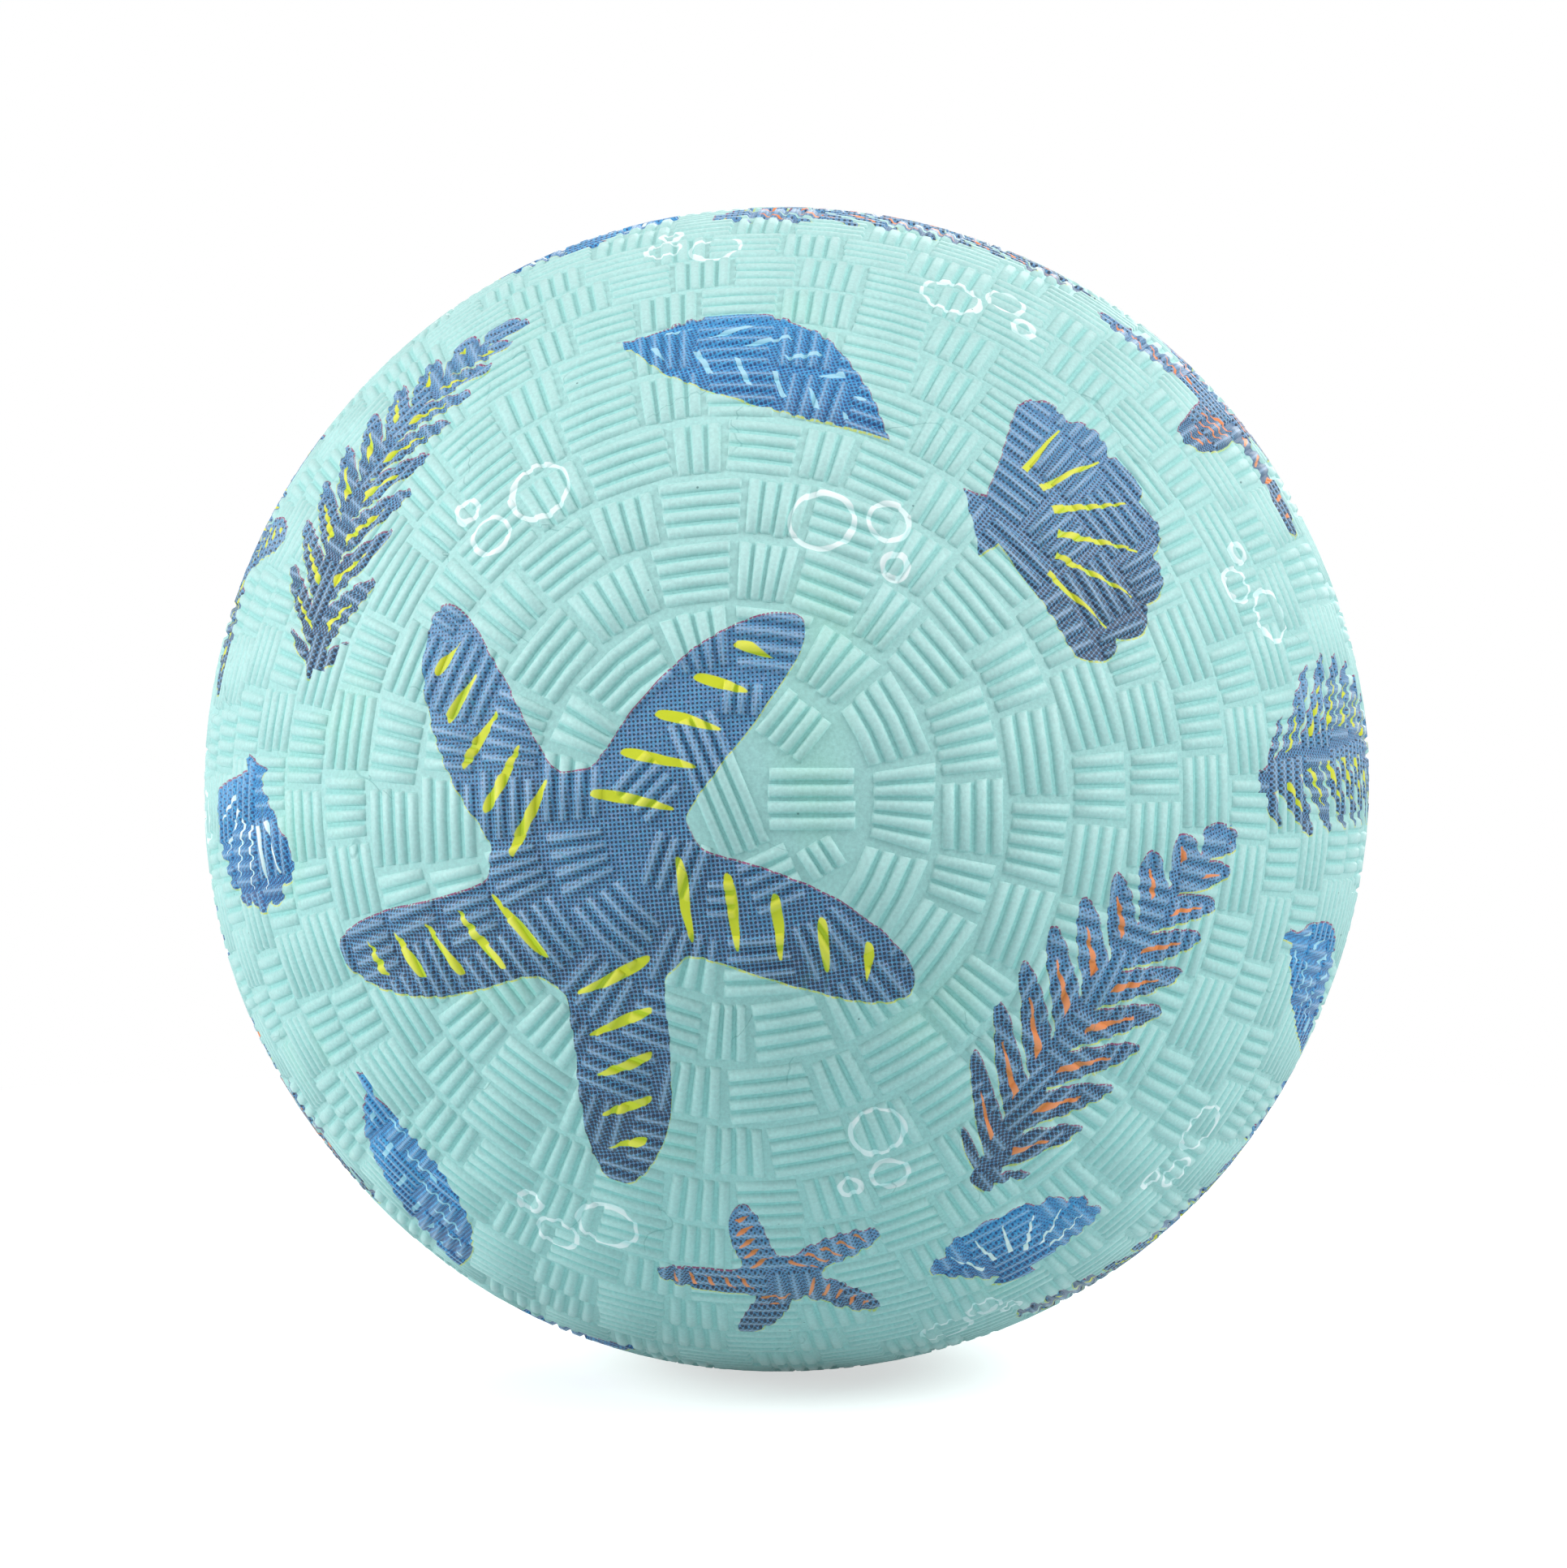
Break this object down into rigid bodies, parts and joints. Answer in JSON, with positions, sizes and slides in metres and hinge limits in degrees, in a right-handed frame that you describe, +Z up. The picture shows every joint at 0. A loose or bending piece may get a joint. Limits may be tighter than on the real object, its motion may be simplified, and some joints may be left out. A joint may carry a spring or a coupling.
{
  "type": "mini play ball",
  "caption": "Small air-filled rubber play ball with a basket-weave of moulded ribs, a printed cover over a bladder, and a needle valve at one pole.",
  "frame": {"origin": "centre of the ball", "axes": "+Z up as pictured, +Y along the valve's axis and out of its mouth, -Y towards the camera, +X to the camera's right"},
  "size_m": [0.1304, 0.1292, 0.1298],
  "materials": {
    "cover_rubber": "satin turquoise moulded rubber with a printed design",
    "bladder_rubber": "plain black rubber sheet",
    "patch_rubber": "plain dark grey rubber sheet",
    "housing_rubber": "satin turquoise moulded rubber",
    "plug_rubber": "satin off-white moulded rubber",
    "gum_rubber": "soft amber gum rubber"
  },
  "bodies": {
    "root": {"rubber_cover": "cover_rubber", "bladder": "bladder_rubber", "valve_patch": "patch_rubber", "valve_housing": "housing_rubber", "valve_plug": "plug_rubber", "valve_core": "gum_rubber"}
  },
  "joints": []
}
